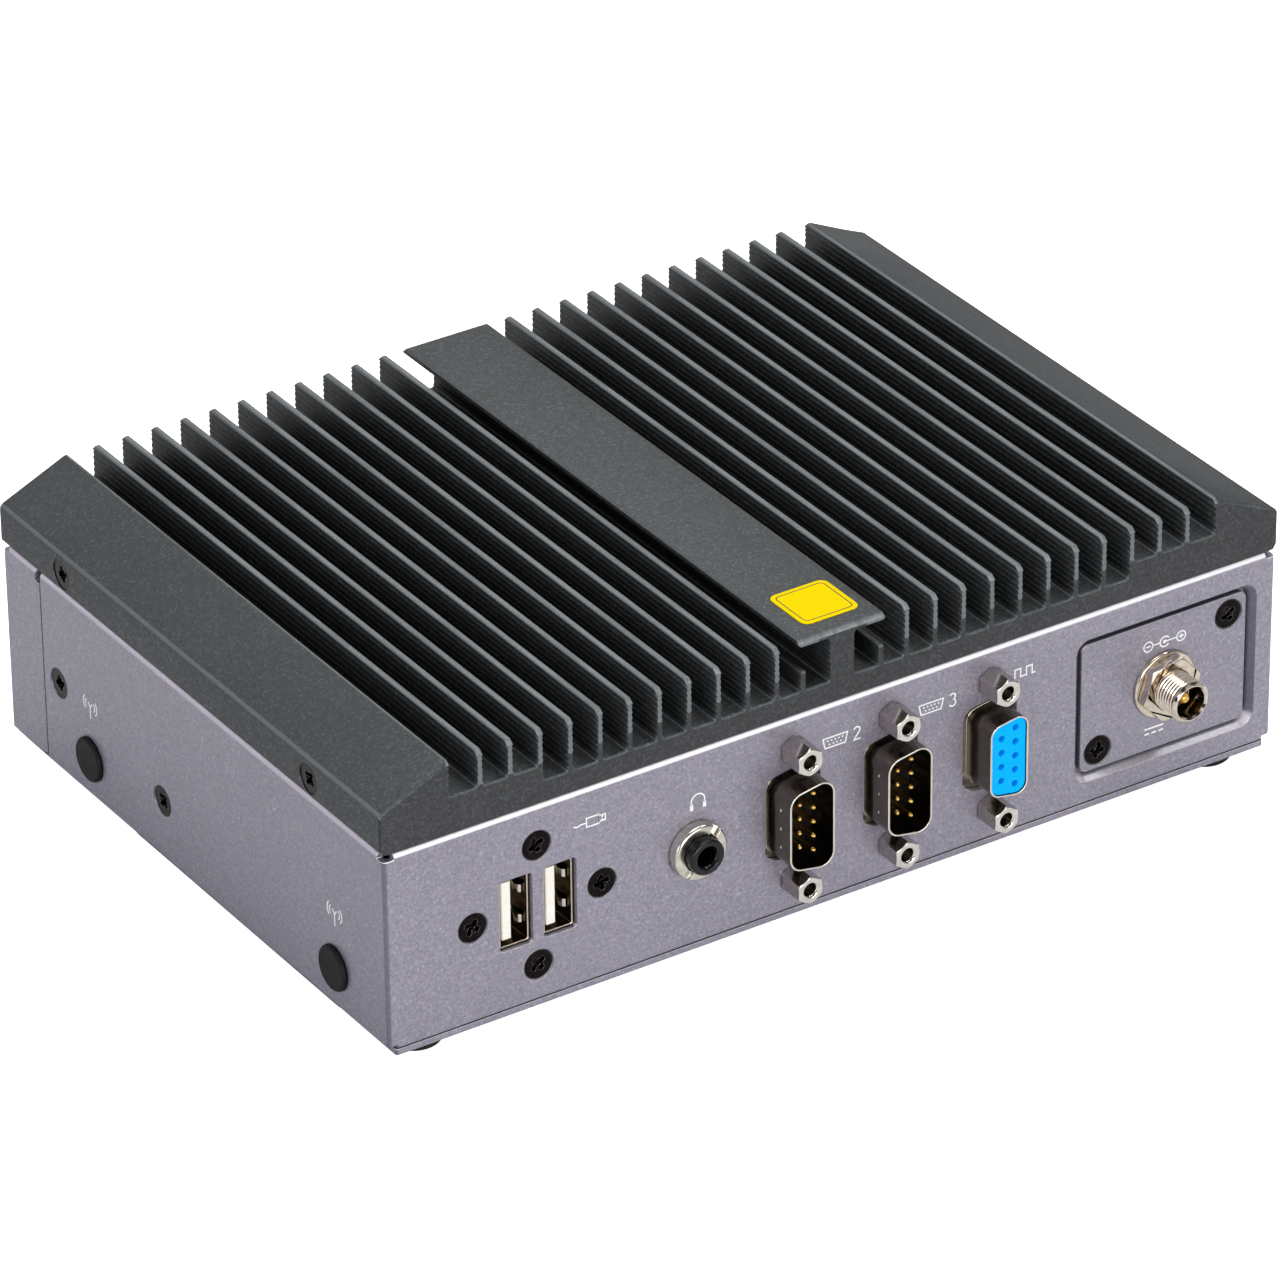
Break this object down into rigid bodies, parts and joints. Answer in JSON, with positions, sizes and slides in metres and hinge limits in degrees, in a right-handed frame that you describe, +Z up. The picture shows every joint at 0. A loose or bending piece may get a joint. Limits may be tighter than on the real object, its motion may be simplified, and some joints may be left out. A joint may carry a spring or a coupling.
{
  "type": "mini pc",
  "caption": "Fanless embedded mini computer: finned heatsink lid on a sheet-metal case with USB, audio, serial, digital and power ports, and a rear power button.",
  "frame": {"origin": "centre of the square mounting pattern, on the underside of the bottom plate; the feet stand below it", "axes": "+Z up through the heatsink, -Y out of the face with the serial ports, +Y out of the face with the power button, +X along the longest side"},
  "size_m": [0.1821, 0.1394, 0.0556],
  "materials": {
    "heatsink_anodised": "satin black anodised extrusion",
    "case_paint": "fine metallic powder coat, grey with a violet cast",
    "screw_black": "black oxide",
    "zinc_steel": "zinc plated",
    "plug_black": "satin moulded nylon",
    "foot_rubber": "matte",
    "label_yellow": "satin film",
    "nickel": "bright nickel plate",
    "warm_nickel": "bright nickel plate over brass",
    "cream_plastic": "moulded",
    "black_plastic": "moulded",
    "blue_plastic": "moulded",
    "gold": "gold flash",
    "brass_hex": "plain brass",
    "circuit_board": "solder mask",
    "chip_black": "package resin",
    "thermal_grey": "soft pad",
    "bare_aluminium": "machined",
    "button_steel": "turned stainless",
    "cable_red_black": "silicone insulation"
  },
  "bodies": {
    "case": {"antenna_hole_plugs": "plug_black", "audio_jack_body": "black_plastic", "audio_jack_nut": "nickel", "board_screws": "zinc_steel", "board_standoffs": "brass_hex", "bottom_plate": "case_paint", "bottom_plate_screws": "screw_black", "chassis_shell": "case_paint", "chassis_side_screws": "screw_black", "coin_cell": "nickel", "coin_cell_holder": "black_plastic", "cover_side_screws": "screw_black", "dc_jack_barrel": "warm_nickel", "dc_jack_contact": "gold", "dc_jack_nut": "warm_nickel", "dc_jack_washer": "nickel", "digital_io_contacts": "gold", "digital_io_insert": "blue_plastic", "digital_io_shell": "nickel", "foot_screws": "zinc_steel", "heat_block": "bare_aluminium", "heat_block_screws": "zinc_steel", "heatsink_cover": "heatsink_anodised", "mainboard": "circuit_board", "memory_module": "circuit_board", "memory_socket": "black_plastic", "network_jack_pair": "nickel", "port_jackscrews": "nickel", "power_cable": "cable_red_black", "power_inlet_plate": "case_paint", "power_inlet_screws": "screw_black", "power_switch": "button_steel", "processor_package": "chip_black", "rear_panel": "case_paint", "rear_serial_insert": "black_plastic", "rear_serial_pins": "gold", "rear_serial_shell": "nickel", "rear_usb_shell": "nickel", "rear_usb_tongues": "blue_plastic", "rubber_feet": "foot_rubber", "serial_a_insert": "black_plastic", "serial_a_pins": "gold", "serial_a_shell": "nickel", "serial_b_insert": "black_plastic", "serial_b_pins": "gold", "serial_b_shell": "nickel", "serial_board": "circuit_board", "storage_module": "circuit_board", "surface_label": "label_yellow", "thermal_pad": "thermal_grey", "usb_board": "circuit_board", "usb_bracket_screws": "screw_black", "usb_left_shell": "nickel", "usb_left_tongue": "cream_plastic", "usb_mount_bracket": "zinc_steel", "usb_right_shell": "nickel", "usb_right_tongue": "cream_plastic", "video_port_shell": "nickel", "video_port_tongue": "black_plastic"},
    "button": {"power_button": "button_steel"}
  },
  "joints": [
    {"name": "power_button_press", "type": "slide", "parent": "case", "child": "button", "axis": [0, -1, 0], "range_m": [0, 0.0012], "stiffness_N_per_m": 400, "springref_m": -0.002}
  ]
}
